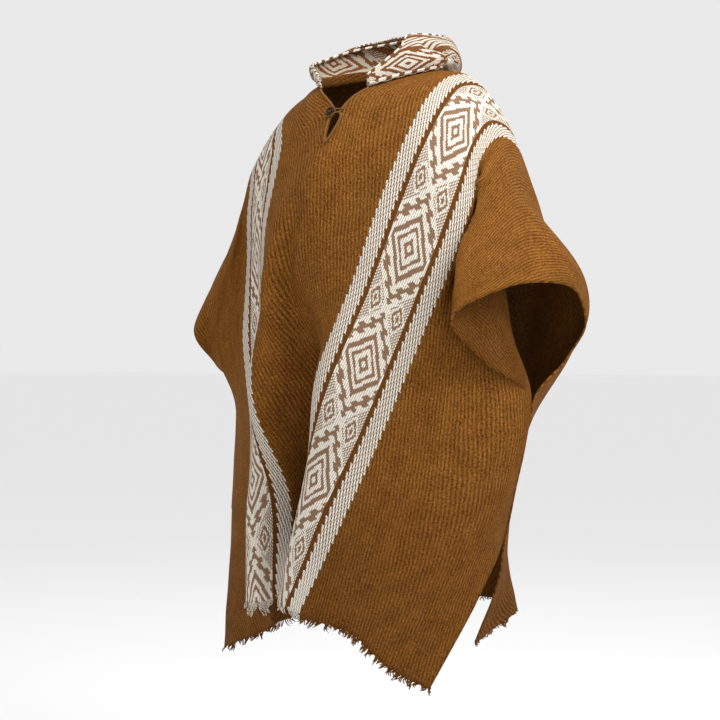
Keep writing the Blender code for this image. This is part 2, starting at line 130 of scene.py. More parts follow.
# The back, below the shoulder at each of the levels
BACK = {
    "right selvedge": ((-372, 40, -338), (-362, 68, -400), (-335, 38, -470), (-320, -5, -520),
                       (-328, -10, -715), (-334, 15, -840), (-335, 40, -948)),
    "right cuff": ((-325, 45, -262), (-325, 78, -325), (-305, 85, -430), (-292, 70, -535),
                   (-282, 90, -705), (-272, 125, -820), (-262, 150, -912)),
    "right arm": ((-275, 55, -180), (-275, 92, -245), (-268, 112, -358), (-258, 118, -475),
                  (-235, 122, -665), (-212, 132, -800), (-190, 142, -915)),
    "right band, outer edge": ((-235, 62, -105), (-230, 102, -170), (-222, 128, -284), (-212, 142, -400),
                               (-188, 172, -594), (-162, 200, -738), (-132, 232, -878)),
    "right band, middle": ((-195, 66, -55), (-188, 108, -118), (-180, 132, -232), (-172, 146, -350),
                           (-150, 162, -546), (-130, 175, -694), (-108, 188, -842)),
    "right band, inner edge": ((-150, 68, -15), (-142, 112, -75), (-135, 135, -192), (-128, 145, -311),
                               (-110, 148, -509), (-97, 138, -657), (-85, 125, -805)),
    "right breast": ((-95, 80, 12), (-72, 115, -52), (-70, 140, -168), (-68, 152, -286),
                     (-60, 165, -484), (-57, 172, -632), (-56, 178, -780)),
    "beside the slit": ((-70, 84, 22), (-38, 114, -38), (-37, 142, -156), (-36, 154, -274),
                        (-36, 174, -471), (-39, 192, -618), (-42, 208, -765)),
    "slit, right edge": ((-45, 88, 30), (-5, 112, -28), (-5, 142, -146), (-5, 156, -264),
                         (-12, 182, -460), (-20, 208, -606), (-28, 232, -752)),
    "slit, left edge": ((35, 88, 30), (-5, 112, -28), (-5, 142, -146), (-5, 156, -264),
                        (-12, 182, -460), (-20, 208, -606), (-28, 232, -752)),
    "left breast": ((88, 80, 10), (65, 115, -52), (60, 140, -168), (55, 152, -286),
                    (38, 165, -484), (18, 172, -632), (-3, 178, -780)),
    "left band, inner edge": ((138, 68, 2), (132, 115, -78), (125, 138, -195), (115, 150, -314),
                              (85, 150, -512), (52, 140, -660), (22, 122, -808)),
    "left band, middle": ((188, 66, -52), (185, 112, -125), (172, 136, -242), (158, 146, -360),
                          (118, 158, -556), (85, 168, -700), (58, 175, -838)),
    "left band, outer edge": ((224, 60, -118), (222, 104, -185), (215, 132, -300), (195, 140, -415),
                              (150, 165, -610), (112, 190, -740), (90, 222, -855)),
    "left arm, front": ((243, 50, -158), (242, 98, -215), (238, 122, -328), (214, 120, -445),
                        (166, 128, -632), (118, 150, -758), (95, 168, -852)),
    "left arm": ((260, 36, -200), (262, 88, -250), (262, 108, -360), (235, 95, -475),
                 (185, 100, -655), (125, 115, -775), (85, 112, -850)),
    "left cuff": ((345, 5, -290), (338, 80, -340), (303, 82, -445), (252, 52, -550),
                  (215, 45, -705), (182, 95, -792), (168, 148, -868)),
    "left selvedge": ((368, -15, -345), (354, 48, -392), (325, 32, -455), (300, -28, -528),
                      (258, -30, -712), (200, 30, -825), (122, 86, -925)),
}

# The hood round the neck, from its right front end round the back to the left one: the side of the slit and
# the place along its edge where the seam passes, then how far out from the neck and up from the seam lie its
# belly, side, crest and free edge
NECK_CENTRE = (-8, 0)
HOOD_RAISE = 3.8
HOOD = {
    "right end": (-1, 80, (3, 4), (5, 9), (6, 14), (6, 19)),
    "right front": (-1, 40, (9, 4), (17, 12), (19, 24), (15, 30)),
    "right side": (-1, 0, (20, 4), (30, 14), (30, 28), (24, 36)),
    "right back": (-1, -40, (26, 2), (46, 18), (50, 44), (40, 52)),
    "back, right": (-1, -80, (40, -12), (58, 14), (48, 54), (30, 66)),
    "back": (-1, -100, (50, -24), (67, 6), (48, 62), (28, 82)),
    "back, left": (1, -80, (38, -14), (54, 10), (42, 50), (26, 62)),
    "left back": (1, -40, (20, 0), (32, 14), (18, 36), (-14, 54)),
    "left side": (1, 0, (9, 8), (9, 22), (-16, 42), (-52, 60)),
    "left front": (1, 40, (6, 8), (5, 20), (-3, 34), (-18, 46)),
    "left end": (1, 80, (2, 4), (3, 9), (2, 14), (0, 19)),
}

# The cloth's gap beside the middle where it is open, and how far out the slit moves it
EDGE_GAP = 1.0
SLIT_REACH = 52

# The columns and rows that a change of the cloth's make falls on, from the middle and the shoulder fold
CLOTH_COLUMNS = (0, 60, BAND_INNER, BAND_OUTER, 361, HALF_WIDTH)
FRONT_ROWS = (0, 80, 135, SLIT_TOP, SLIT_END, 280, SEAM_TOP, SEAM_END, HALF_LENGTH)
BACK_ROWS = (0, 80, 86, 93, NECK_BACK, 160, 280, SEAM_TOP, SEAM_END, HALF_LENGTH)
COLUMN_STEP = 7.5
ROW_STEP = 8.5

# The left sleeve's fold and the crease beside it: how far out from the middle, and how wide
SLEEVE_FOLD = (309, 16)
FOLD_HEIGHT = 10
SLEEVE_CREASE = (282, 13)
CREASE_DEPTH = 19

# The weave, in mm. The ribs lean across the warp by this much for each length down
RIB_PITCH = 6.2
RIB_LEAN = 0.3
CREAM_PITCH = 3.2

# Painted shade: where the colour darkens towards a hem, and how much deep brown is mixed in there and on the
# reverse
PAINTED_HEM_SHADE_SPAN = (430, 880)
PAINTED_HEM_SHADE_SHARE = 0.34
PAINTED_REVERSE_SHADE = 0.35

# A band, in mm: its middle, half its motif strip, its plain guard lines and its pinstriped edges. Half a
# cream line's width is a share of the pitch
BAND_MIDDLE = 189
STRIP_HALF = 36
GUARD = 8.5
PIN_START = STRIP_HALF + GUARD
PIN_END = PIN_START + 24
PIN_PITCH = 4.8
PIN_WIDTH = 0.29
DOT_PITCH = 4.6
DOT_LENGTH = 1.7

# The motif, in mm: its woven cells, its repeat, half of each diamond across and along, how far out the small
# diamonds lie and the large ones are cut off, and the teeth of their outline
CELL_ACROSS = 1.9
CELL_ALONG = 2.8
REPEAT = 205
REPEAT_START = 83
LARGE_DIAMOND = (36, 59)
SMALL_DIAMOND = (13, 27)
SMALL_OUT = 22
CORNER = 33
TOOTH = 11

# The brown rings of the diamonds and the toothed outline, where 1 is the edge of the diamond
LARGE_RINGS = ((0.14, 0.29), (0.50, 0.64), (0.79, 1.0))
SMALL_RINGS = ((-1, 0.25), (0.52, 0.82))
OUTLINE = (1.37, 1.66)
TOOTH_DEPTH = 0.15

# Where the checked ground begins: out from the large diamonds, the small ones, and the middle in mm
CHECKS_FROM = (1.80, 1.08, 8)

# Where the figures draw apart and close up again down the front: from, to, and by how much, in mm
FIGURE_SHIFTS = ((0, 195, 25), (330, 660, -21))

# On the hood: the name, the place of the strip above the seam, the scales up and round, the place of a large
# diamond round the neck, how far out its innermost figure begins, and its painted shade, how grey its cream
# is
HOOD_FACE = ("patterned wool", 20, 0.70, 0.95, 487, 0.17, 0.4)
HOOD_REVERSE = ("reverse of the patterned wool", 60, 0.95, 0.79, 150, 0.0, 0.85)
HOOD_GUARD = 13
HOOD_PIN_EDGE = 22
HOOD_PIN_PITCH = 11
HOOD_PIN_WIDTH = 0.31

# The checked seam roll and the turned edge of the face opening, in mm
ROLL_RADIUS = 4.6
ROLL_OUT = 4.0
ROLL_SIDE = 9
ROLL_BLOCK = 22
ROLL_TWIST = 3.4
HEM_RADIUS = 2.4

# The hollow at the hood's left end, in mm: how far round the neck and up from the seam its top is, how deep
# and wide it is, and where it sets in and runs out down its length
HOLLOW_TOP = (434, 58)
HOLLOW_DEPTH = 18
HOLLOW_WIDTH = 8
HOLLOW_START = (-10, 4)
HOLLOW_END = (26, 38)

# Where the hood's back stands higher than in the table, and by how much
HOOD_BACK = (225, 70)
HOOD_LIFT = 8

# The tape inside the neck, cut from the plain cloth this far across. Each of its lines has its height over
# the seam, and how far in from the seam it lies
PLAIN_CLOTH = 300
TAPE_THICKNESS = 1.6
NECK_TAPE = ((-9, 2.2), (-4, 2.8), (0, 3.4), (4, 3.6), (7, 3.4), (8.5, 2.6))

# The rolled edge of the neck: where it begins, how far in it lies, how high over the cloth, and its radius
NECK_EDGE_TOP = 78
NECK_EDGE_INSET = 1.2
NECK_EDGE_HEIGHT = 0.9
NECK_EDGE_RADIUS = 2.3

# The edging of the slit, the thread, and how far from the slit the edging and the loop lie
EDGING_RADIUS = 2.1
EDGING_INSET = 2.4
THREAD_RADIUS = 0.5
YARN_TWIST = 3.0
LOOP_ACROSS = 4.5

# The fringe's tufts, in mm: their size, how far they lean aside and forward, how much they curl, and the gaps
TUFT_WIDTH = (5, 11)
TUFT_LENGTH = (7, 17)
TUFT_ASIDE = (-6, 6)
TUFT_FORWARD = (-2.5, 6)
TUFT_CURL = (1.2, 3.4)
TUFT_GAP = (1, 4)
GAP_CHANCE = 0.25

# The yarns of a tuft: how they gather to its middle, their share of its length, their radius and spacing
YARN_GATHER = (-0.15, 0.45)
YARN_SHARE = (0.5, 1.1)
YARN_RADIUS = (0.9, 1.5)
BAND_FRINGE = 1.5
YARN_STEP = 1.7
YARN_RINGS = 6
YARN_SIDES = 4

# The studio, in metres, degrees and watts. Each light has its azimuth, elevation, distance, size and power
FLOOR = -1.3
FLOOR_REACH = 80
WORLD_STRENGTH = 0.82
CHEST = Vector((0, 0, -0.2))
LIGHTS = {
    "key": (84, 44, 1.8, 0.9, 28),
    "front": (15, 66, 1.5, 0.9, 6),
    "rim": (215, 40, 3.4, 1.6, 14),
}
CAMERA_TURN = 37
CAMERA_HEIGHT = -0.454
CAMERA_ASIDE = 0.042
CAMERA_DISTANCE = 2.8
FRAME_WIDTH = 1.2024

# The colours of the yarns and of the horn, and how fine the horn's streaks are
BROWN_DEEP = (0.048, 0.0140, 0.0022)
BROWN = (0.165, 0.060, 0.0085)
BROWN_LIGHT = (0.30, 0.122, 0.020)
BROWN_TIP = (0.42, 0.21, 0.062)
GUARD_BROWN = (0.085, 0.028, 0.005)
MOTIF_DEEP = (0.16, 0.085, 0.045)
MOTIF_BROWN = (0.30, 0.18, 0.11)
HOOD_DEEP = (0.08, 0.027, 0.008)
HOOD_BROWN = (0.22, 0.085, 0.028)
HORN_SCALE = 260.0
HORN_DEEP = (0.010, 0.003, 0.002)
HORN = (0.030, 0.010, 0.008)
HORN_LIGHT = (0.11, 0.045, 0.035)
CREAM_DEEP = (0.38, 0.32, 0.24)
CREAM = (0.70, 0.64, 0.54)
CREAM_LIGHT = (0.90, 0.86, 0.78)


def slopes(knots, values):
    """The slope at each knot of the parabola through it and its two neighbours."""
    steps = np.diff(knots)[:, None]
    rises = np.diff(values, axis=0) / steps
    inner = (rises[:-1] * steps[1:] + rises[1:] * steps[:-1]) / (steps[1:] + steps[:-1])
    return np.concatenate([rises[:1], inner, rises[-1:]])


def through(knots, values, places, given=None):
    """Points at places on a smooth curve that passes through values at knots."""
    knots = np.asarray(knots, float)
    values = np.asarray(values, float)
    rate = slopes(knots, values) if given is None else given
    places = np.clip(np.asarray(places, float), knots[0], knots[-1])
    low = np.clip(np.searchsorted(knots, places, side="right") - 1, 0, len(knots) - 2)
    step = (knots[low + 1] - knots[low])[:, None]
    s = ((places - knots[low])[:, None]) / step
    return (
        (1 + 2 * s) * (1 - s) ** 2 * values[low]
        + s * (1 - s) ** 2 * step * rate[low]
        + s * s * (3 - 2 * s) * values[low + 1]
        + s * s * (s - 1) * step * rate[low + 1]
    )


def warp_line(name):
    """(levels, points, slopes) of one fold, from the back hem over the shoulder to the front hem."""
    levels = [-level for level in reversed(LEVELS)] + [0, *LEVELS]
    points = np.array(list(reversed(BACK[name])) + [SHOULDER[name][1]] + list(FRONT[name]), float)
    rate = slopes(np.asarray(levels, float), points)
    if "selvedge" in name:
        for top, end in ((SEAM_TOP, SEAM_END), (-SEAM_END, -SEAM_TOP)):
            first, last = levels.index(top), levels.index(end)
            seam = (points[last] - points[first]) / (end - top)
            rate[first] = rate[last] = seam
    return levels, points, rate


def slit_openness(along):
    """1 where the neck slit is open and 0 where the two halves are one cloth."""
    front = np.clip((SLIT_END - along) / (SLIT_END - SLIT_TOP), 0, 1)
    back = np.clip((along + NECK_BACK) / SLIT_CLOSING, 0, 1)
    return np.minimum(front, back)


def half_cloth(side, columns, rows):
    """Points of the cloth on one side of its middle: [row, column], in mm. columns runs out from 0."""
    names = [n for n, (across, _) in SHOULDER.items() if across * side > 0]
    names.sort(key=lambda n: abs(SHOULDER[n][0]))
    middle, other = ("slit, right edge", "left breast")
    if side > 0:
        middle, other = ("slit, left edge", "right breast")
    names = [middle] + names
    knots = np.array([abs(SHOULDER[n][0]) for n in names], float)
    lines = {}
    for name in [other, "slit, left edge", "slit, right edge"] + names:
        levels, points, rate = warp_line(name)
        lines[name] = through(levels, points, rows, rate)
    openness = slit_openness(np.asarray(rows, float))
    closed = (lines["slit, left edge"] + lines["slit, right edge"]) / 2
    lines[middle] = closed + (lines[middle] - closed) * openness[:, None]
    sheet = []
    for row in range(len(rows)):
        values = np.array([lines[name][row] for name in names])
        rate = slopes(knots, values)
        across_middle = (values[2] - lines[other][row]) / (knots[2] + abs(SHOULDER[other][0]))
        rate[0] = openness[row] * rate[0] + (1 - openness[row]) * across_middle
        sheet.append(through(knots, values, columns, rate))
    return np.array(sheet)


def slit_gap(along):
    """Half the width of the almond-shaped opening below the button."""
    share = (along - SLIT_TOP) / (SLIT_END - SLIT_TOP)
    if not 0 < share < 1:
        return 0.0
    return SLIT_HALF_GAP * math.sin(math.pi * share ** 0.62) ** 0.8


def open_slit(side, rows, sheet, columns):
    """Moves the cloth beside the almond away from the middle, less and less with the distance from it."""
    for row, along in enumerate(rows):
        gap = slit_gap(along) + (EDGE_GAP if 0 <= along < SLIT_END else 0.0)
        for column, across in enumerate(columns):
            sheet[row, column, 0] += side * gap * max(0.0, 1 - across / SLIT_REACH)
    return sheet


def cloth_point(side, across, along):
    """One point of the cloth, before the slit is opened."""
    return half_cloth(side, [across], [along])[0, 0]


def lifted(side, across, along, height):
    """A point over the outside of the cloth, and the cloth's outward direction there."""
    here = Vector(cloth_point(side, across, along))
    beside = Vector(cloth_point(side, across + 5, along)) - here
    below = Vector(cloth_point(side, across, along + 5)) - here
    outward = beside.cross(below).normalized() * -side
    edge = Vector((side * slit_gap(along), 0, 0))
    return here + edge + outward * height, outward


def hood_rows(along_steps, width_steps):
    """The hood's points in mm, a row for each place along the neck and a column down its width."""
    seams, offsets = [], []
    for side, along, *width in HOOD.values():
        seam = cloth_point(side, 0, along) + np.array((0, 0, HOOD_RAISE))
        out = np.array((seam[0] - NECK_CENTRE[0], seam[1] - NECK_CENTRE[1], 0))
        out /= np.linalg.norm(out)
        seams.append(seam)
        offsets.append([np.zeros(3)] + [out * reach + np.array((0, 0, up)) for reach, up in width])
    stations = np.array(seams)[:, None] + np.array(offsets)
    count = len(stations)
    places = np.linspace(0, count - 1, (count - 1) * along_steps + 1)
    columns = np.array([through(range(count), stations[:, c], places) for c in range(stations.shape[1])])
    widths = columns.shape[0]
    down = np.linspace(0, widths - 1, (widths - 1) * width_steps + 1)
    return np.array([through(range(widths), columns[:, place], down) for place in range(len(places))])


# The sockets of a Mix node that is set to colours
MIX_SHARE, MIX_FIRST, MIX_SECOND, MIX_RESULT = 0, 6, 7, 2


def math_node(operation):
    """A method that adds a Math node for the value and the other one, where there is one."""

    def method(self, *others):
        inputs = dict(enumerate((self, *others)))
        return self.weave.node("ShaderNodeMath", inputs, operation=operation)

    return method


class Value:
    """A socket of a material's nodes. Arithmetic on it adds Math nodes."""

    def __init__(self, weave, socket):
        self.weave, self.socket = weave, socket

    __add__ = math_node("ADD")
    __sub__ = math_node("SUBTRACT")
    __mul__ = __rmul__ = math_node("MULTIPLY")
    __truediv__ = math_node("DIVIDE")
    __mod__ = math_node("FLOORED_MODULO")
    __lt__ = math_node("LESS_THAN")
    __gt__ = math_node("GREATER_THAN")
    __abs__ = math_node("ABSOLUTE")
    floor = math_node("FLOOR")
    sine = math_node("SINE")
    both = math_node("MINIMUM")
    either = math_node("MAXIMUM")

    def __rsub__(self, other):
        return self * -1 + other

    def cell(self, size):
        """This length, held at the middle of the woven cell of this size that it is in."""
        return ((self / size).floor() + 0.5) * size

    def between(self, low, high):
        return (self > low) * (self < high)

    def rise(self, low, high):
        """0 below low and 1 above high, with a smooth step from one to the other."""
        inputs = {"Value": self, "From Min": low, "From Max": high}
        return self.weave.node("ShaderNodeMapRange", inputs, interpolation_type="SMOOTHSTEP")


class Weave:
    """A material that is being made."""

    def __init__(self, name, roughness=0.9, gloss=0.08):
        self.material = bpy.data.materials.new(name)
        self.material.use_nodes = True
        self.tree = self.material.node_tree
        self.shader = self.tree.nodes["Principled BSDF"]
        self.shader.inputs["Roughness"].default_value = roughness
        self.shader.inputs["Specular IOR Level"].default_value = gloss

    def node(self, kind, inputs=None, result=0, **settings):
        """The result of a new node, from the values or links of its sockets and its settings."""
        made = self.tree.nodes.new(kind)
        for name, setting in settings.items():
            setattr(made, name, setting)
        for name, given in (inputs or {}).items():
            self.plug(made.inputs[name], given)
        return Value(self, made.outputs[result])

    def plug(self, socket, given):
        if isinstance(given, Value):
            self.tree.links.new(given.socket, socket)
        elif isinstance(given, tuple) and len(given) == 3 and socket.type == "RGBA":
            socket.default_value = (*given, 1)
        else:
            socket.default_value = given

    def measures(self):
        """The cloth's own measures at a point, across and along, in mm."""
        place = self.node("ShaderNodeUVMap", uv_map="cloth")
        return [self.node("ShaderNodeSeparateXYZ", {0: place}, axis) * 1000 for axis in "XY"]

    def noise(self, place, detail, roughness, scale=1.0):
        inputs = {"Vector": place, "Scale": scale, "Detail": detail, "Roughness": roughness}
        return self.node("ShaderNodeTexNoise", inputs)

    def grain(self, x, y, detail, roughness, scale=1.0, z=0.0):
        """Noise over two measures, in which z picks another piece of the noise."""
        place = self.node("ShaderNodeCombineXYZ", {"X": x, "Y": y, "Z": z})
        return self.noise(place, detail, roughness, scale)

    def mix(self, share, first, second):
        """Two colours mixed: first where share is 0 and second where it is 1."""
        inputs = {MIX_SHARE: share, MIX_FIRST: first, MIX_SECOND: second}
        return self.node("ShaderNodeMix", inputs, MIX_RESULT, data_type="RGBA")

    def ramp(self, share, *stops):
        """The colour for a share between stops, each with its place and its colour."""
        result = self.node("ShaderNodeValToRGB", {"Fac": share}, "Color")
        elements = result.socket.node.color_ramp.elements
        for stop in range(2, len(stops)):
            elements.new(stop / len(stops))
        for element, (place, colour) in zip(elements, stops):
            element.position = place
            element.color = (*colour, 1)
        return result

    def paint(self, colour, height=None, strength=0.5, distance=0.001):
        self.plug(self.shader.inputs["Base Color"], colour)
        if height is not None:
            inputs = {"Strength": strength, "Distance": distance, "Height": height}
            self.plug(self.shader.inputs["Normal"], self.node("ShaderNodeBump", inputs, "Normal"))
        return self.material


def wool(weave, across, along):
    """(colour, height) of the plain brown cloth, a twill whose ribs lean across the warp. Its colour is
    darkened toward the hems, as painted shade."""
    lean = across - along * RIB_LEAN
    wander = weave.grain(across / 40, along / 40, 1.0, 0.5) * 6
    rib = ((lean + wander) * (math.tau / RIB_PITCH)).sine()
    stitch = weave.grain(lean / 1.9 + along / 4.5, along / 3.4, 2.0, 0.75, z=3.0)
    yarn = weave.grain(lean / 2.6, along / 8, 3.0, 0.65)
    fuzz = weave.grain(across, along, 4.0, 0.75, scale=0.8)
    heather = weave.grain(across / 24, along / 38, 4.0, 0.6)
    height = rib * 0.075 + stitch * 0.8 + yarn * 0.4 + fuzz * 0.35
    tone = height * 1.05 + heather * 0.25 - 0.44
    browns = (0.28, BROWN_DEEP), (0.49, BROWN), (0.66, BROWN_LIGHT), (0.84, BROWN_TIP)
    # Painted shade: deep brown is mixed in towards each hem
    colour = weave.mix(abs(along).rise(*PAINTED_HEM_SHADE_SPAN) * PAINTED_HEM_SHADE_SHARE, weave.ramp(tone, *browns), BROWN_DEEP)
    return colour, height


def in_rings(place, rings):
    """1 where a place lies in one of the rings."""
    first, *others = [place.between(*ring) for ring in rings]
    for other in others:
        first = first.either(other)
    return first


def motif(x, y, start):
    """1 where the motif strip is cream and 0 where it is brown, in woven cells. x is measured from the middle
    of the strip and y along it, in mm, and start is how far out the innermost figure of a diamond begins."""
    out = abs(x.cell(CELL_ACROSS))
    beside = abs(((y + REPEAT / 2) % REPEAT - REPEAT / 2).cell(CELL_ALONG))
    between = REPEAT / 2 - beside
    large = out / LARGE_DIAMOND[0] + beside / LARGE_DIAMOND[1] + start
    small = abs(out - SMALL_OUT) / SMALL_DIAMOND[0] + between / SMALL_DIAMOND[1]
    diamond = in_rings(large, LARGE_RINGS) * (1 - (out > CORNER))
    teeth = ((beside / TOOTH).floor() % 2) * TOOTH_DEPTH
    outline = (large + teeth).between(*OUTLINE)
    beyond = large > OUTLINE[1]
    small_diamonds = in_rings(small, SMALL_RINGS).both(beyond)
    checks = ((x / CELL_ACROSS).floor() + (y / CELL_ALONG).floor()) % 2
    from_large, from_small, from_middle = CHECKS_FROM
    ground = (large > from_large).both(small > from_small).both(checks > 0.5).both(out > from_middle)
    return 1 - diamond.either(outline).either(ground).either(small_diamonds)


def soft_step(value):
    """0 below zero and 1 above, with an edge as soft as yarn."""
    return value.rise(-0.06, 0.06)


def pinstripes(lean, along):
    """(band, line): where the pinstriped edges of a band are, and where their cream lines are. The lines
    follow the ribs, so each starts and ends a step away from the next."""
    middle = lean.cell(PIN_PITCH) + along * RIB_LEAN
    offset = abs(abs(middle) - BAND_MIDDLE)
    edge = offset.between(PIN_START - 1, PIN_END)
    within = abs((lean / PIN_PITCH) % 1 - 0.5)
    width = abs(along).rise(760, 880) * 0.12 + PIN_WIDTH
    dots = ((along % DOT_PITCH) < DOT_LENGTH) * 0.55
    return edge, soft_step(width - within).either(dots)


def cream(weave, x, y):
    """(colour, height) of the cream wool, whose thick yarns lie nearly along the band."""
    thread = ((x + y * 0.06) * (math.tau / CREAM_PITCH)).sine() * 0.5 + 0.5
    fibre = weave.grain((x + y * 0.1) / 1.5, y / 7, 3.0, 0.65)
    height = thread * 0.55 + fibre * 0.6
    return weave.ramp(height, (0.25, CREAM_DEEP), (0.52, CREAM), (0.85, CREAM_LIGHT)), height


def cloth_face():
    """The right side of the cloth: brown wool with its two bands."""
    weave = Weave("brown wool with woven bands")
    across, along = weave.measures()
    colour, height = wool(weave, across, along)
    out = abs(across)
    x = out - BAND_MIDDLE
    pale, yarn = cream(weave, x, along)
    edge, line = pinstripes(across - RIB_LEAN * along, along)
    inside = abs(x) < PIN_START
    banded = inside.either(edge)
    colour = weave.mix(banded * 0.8, colour, weave.mix(yarn * 0.6, GUARD_BROWN, BROWN))
    colour = weave.mix(edge * line, colour, pale)
    strip = abs(x) < STRIP_HALF
    shifted = along - REPEAT_START
    for start, end, shift in FIGURE_SHIFTS:
        shifted = shifted - along.rise(start, end) * shift
    figure = motif(x, shifted, 0.0)
    woven = weave.mix(figure, weave.mix(yarn, MOTIF_DEEP, MOTIF_BROWN), pale)
    colour = weave.mix(strip, colour, woven)
    height = height + (yarn + figure * strip * 0.2 - height) * banded
    return weave.paint(colour, height, strength=0.8, distance=0.0016)


def cloth_reverse():
    """The wrong side of the cloth, darkened as painted shade for the shade inside the garment, where only
    flecks of the bands' cream yarn show.
    """
    weave = Weave("reverse of the brown wool")
    across, along = weave.measures()
    colour, height = wool(weave, across, along)
    band = abs(abs(across) - BAND_MIDDLE) < PIN_END
    _, line = pinstripes(across - RIB_LEAN * along, along)
    # Painted shade: the whole reverse is darkened with deep brown, for the shade inside the garment
    colour = weave.mix(PAINTED_REVERSE_SHADE, colour, BROWN_DEEP)
    fleck = weave.grain(across / 2, along / 5, 2.0, 0.6).rise(0.55, 0.66)
    colour = weave.mix(band * line * fleck * 0.5, colour, CREAM_DEEP)
    return weave.paint(colour, height, strength=0.8, distance=0.0016)


def hood_weave(name, middle, across_scale, along_scale, diamond, start, painted_shade):
    """The hood's cloth, woven as the bands are. middle is how far the strip's middle is from the neck seam,
    and diamond is where a large diamond is round the neck, both in mm. Scales under 1 make the figures
    smaller, start is as in motif, and painted_shade is how much of the deep cream is mixed in as painted
    shade."""
    weave = Weave(name)
    up, round_neck = weave.measures()
    width = 2 * (STRIP_HALF + HOOD_GUARD + HOOD_PIN_EDGE)
    x = ((up - middle) / across_scale + width / 2) % width - width / 2
    y = (round_neck - diamond) / along_scale
    pale, yarn = cream(weave, x, y)
    # Painted shade: the hood's cream is greyed with the deep cream
    pale = weave.mix(painted_shade, pale, CREAM_DEEP)
    brown = weave.mix(yarn, HOOD_DEEP, HOOD_BROWN)
    woven = weave.mix(motif(x, y, start), brown, pale)
    slant = (x + y * 0.4) / HOOD_PIN_PITCH
    line = soft_step(HOOD_PIN_WIDTH - abs(slant % 1 - 0.5)) * (abs(x) > STRIP_HALF + HOOD_GUARD)
    edges = weave.mix(line, brown, pale)
    colour = weave.mix(abs(x) > STRIP_HALF, woven, edges)
    return weave.paint(colour, yarn, strength=0.7, distance=0.0014)


def hood_roll():
    """The hood's seam roll: blocks of cream and brown yarn that follow it, a step apart on its two sides."""
    weave = Weave("checked seam roll")
    around, along = weave.measures()
    pale, yarn = cream(weave, around, along * 0.5)
    side = (around / ROLL_SIDE).floor()
    block = ((along + around * 0.5 + side * (ROLL_BLOCK / 2)) / ROLL_BLOCK) % 1
    colour = weave.mix(soft_step(0.56 - block), weave.mix(yarn, HOOD_DEEP, HOOD_BROWN), pale)
    twist = ((along + around * 0.9) * (math.tau / ROLL_TWIST)).sine()
    return weave.paint(colour, yarn + twist * 0.3, strength=0.6, distance=0.0012)


def whipped_yarn():
    """Twisted brown yarn: the cord loop, the thread and the whipped edges of the neck."""
    weave = Weave("brown whipped yarn")
    around, along = weave.measures()
    fibre = weave.grain(around * 2, along, 3.0, 0.6)
    twist = ((along + around * 0.6) * (math.tau / YARN_TWIST)).sine() * 0.5 + 0.5
    colour = weave.mix(twist * 0.4 + fibre * 0.35, BROWN_DEEP, BROWN_TIP)
    return weave.paint(colour, twist * 0.7 + fibre * 0.4, strength=0.8, distance=0.0008)


def fringe_yarn():
    """The cut yarns of the hems: brown, and cream where a band ends."""
    weave = Weave("cut yarns")
    across, along = weave.measures()
    fibre = weave.grain(across * 0.9, along * 2, 3.0, 0.6)
    colour = weave.ramp(fibre, (0.3, BROWN_DEEP), (0.55, BROWN), (0.75, BROWN_LIGHT))
    x = abs(abs(across) - BAND_MIDDLE)
    pale = weave.ramp(fibre, (0.3, CREAM_DEEP), (0.55, CREAM), (0.75, CREAM_LIGHT))
    banded = (x < STRIP_HALF).either(x.between(PIN_START, PIN_END))
    colour = weave.mix(banded * (fibre > 0.44), colour, pale)
    return weave.paint(colour, fibre, strength=0.4, distance=0.0006)


def dark_horn():
    """The button's horn, dull and faintly streaked."""
    weave = Weave("dark horn", roughness=0.5, gloss=0.12)
    place = weave.node("ShaderNodeTexCoord", result="Object")
    grain = weave.noise(place, 4.0, 0.6, HORN_SCALE)
    colour = weave.ramp(grain, (0.3, HORN_DEEP), (0.55, HORN), (0.75, HORN_LIGHT))
    return weave.paint(colour, grain, strength=0.12, distance=0.0004)


def pale_floor():
    """The floor's plain finish."""
    return Weave("pale floor").paint((0.96, 0.96, 0.96))


def steps(stops, most):
    """Places from the first stop to the last, with each stop among them, at most this far apart."""
    places = [stops[0]]
    for start, end in zip(stops, stops[1:]):
        count = max(1, math.ceil((end - start) / most - 0.01))
        places += [start + (end - start) * (i + 1) / count for i in range(count)]
    return places


def run_of(line):
    """How far along a line each of its points is."""
    return np.concatenate([[0], np.cumsum(np.linalg.norm(np.diff(line, axis=0), axis=1))])


def unit(vectors):
    """The vectors along the last axis, each made as long as 1."""
    return vectors / (np.linalg.norm(vectors, axis=-1)[..., None] + 1e-9)


def grid_faces(rows, count):
    """The faces between rows of points, with count points in each."""
    starts = [row * count + column for row in range(rows - 1) for column in range(count - 1)]
    return [(a, a + 1, a + count + 1, a + count) for a in starts]


def placed(name, data):
    """An object in the scene with this mesh, light or camera."""
    made = bpy.data.objects.new(name, data)
    bpy.context.scene.collection.objects.link(made)
    return made


def piece(name, points, faces, measures, paint):
    """An object from points in mm, with the cloth's measures, in mm, as its UVs."""
    mesh = bpy.data.meshes.new(name)
    mesh.from_pydata([Vector(p) * MM for p in points], [], faces)
    layer = mesh.uv_layers.new(name="cloth")
    corners = np.empty(len(mesh.loops), np.int32)
    mesh.loops.foreach_get("vertex_index", corners)
    layer.data.foreach_set("uv", (np.asarray(measures, float)[corners] * MM).ravel().astype(np.float32))
    mesh.materials.append(paint)
    mesh.shade_smooth()
    mesh.validate()
    made = placed(name, mesh)
    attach(made, "root")
    return made


def thicken(made, thickness, reverse):
    """A wall on both sides of a sheet, whose wrong side has a finish of its own."""
    made.data.materials.append(reverse)
    wall = made.modifiers.new("thickness", "SOLIDIFY")
    wall.thickness = thickness * MM
    wall.offset = 0
    wall.material_offset = 1


def ease(value, low, high):
    """0 below low and 1 above high, with a smooth step between them, for numbers and arrays."""
    share = np.clip((value - low) / (high - low), 0, 1)
    return share * share * (3 - 2 * share)


def bump(value, middle, width):
    """1 at the middle, falling smoothly to nothing on both sides."""
    return np.exp(-(((value - middle) / width) ** 2))


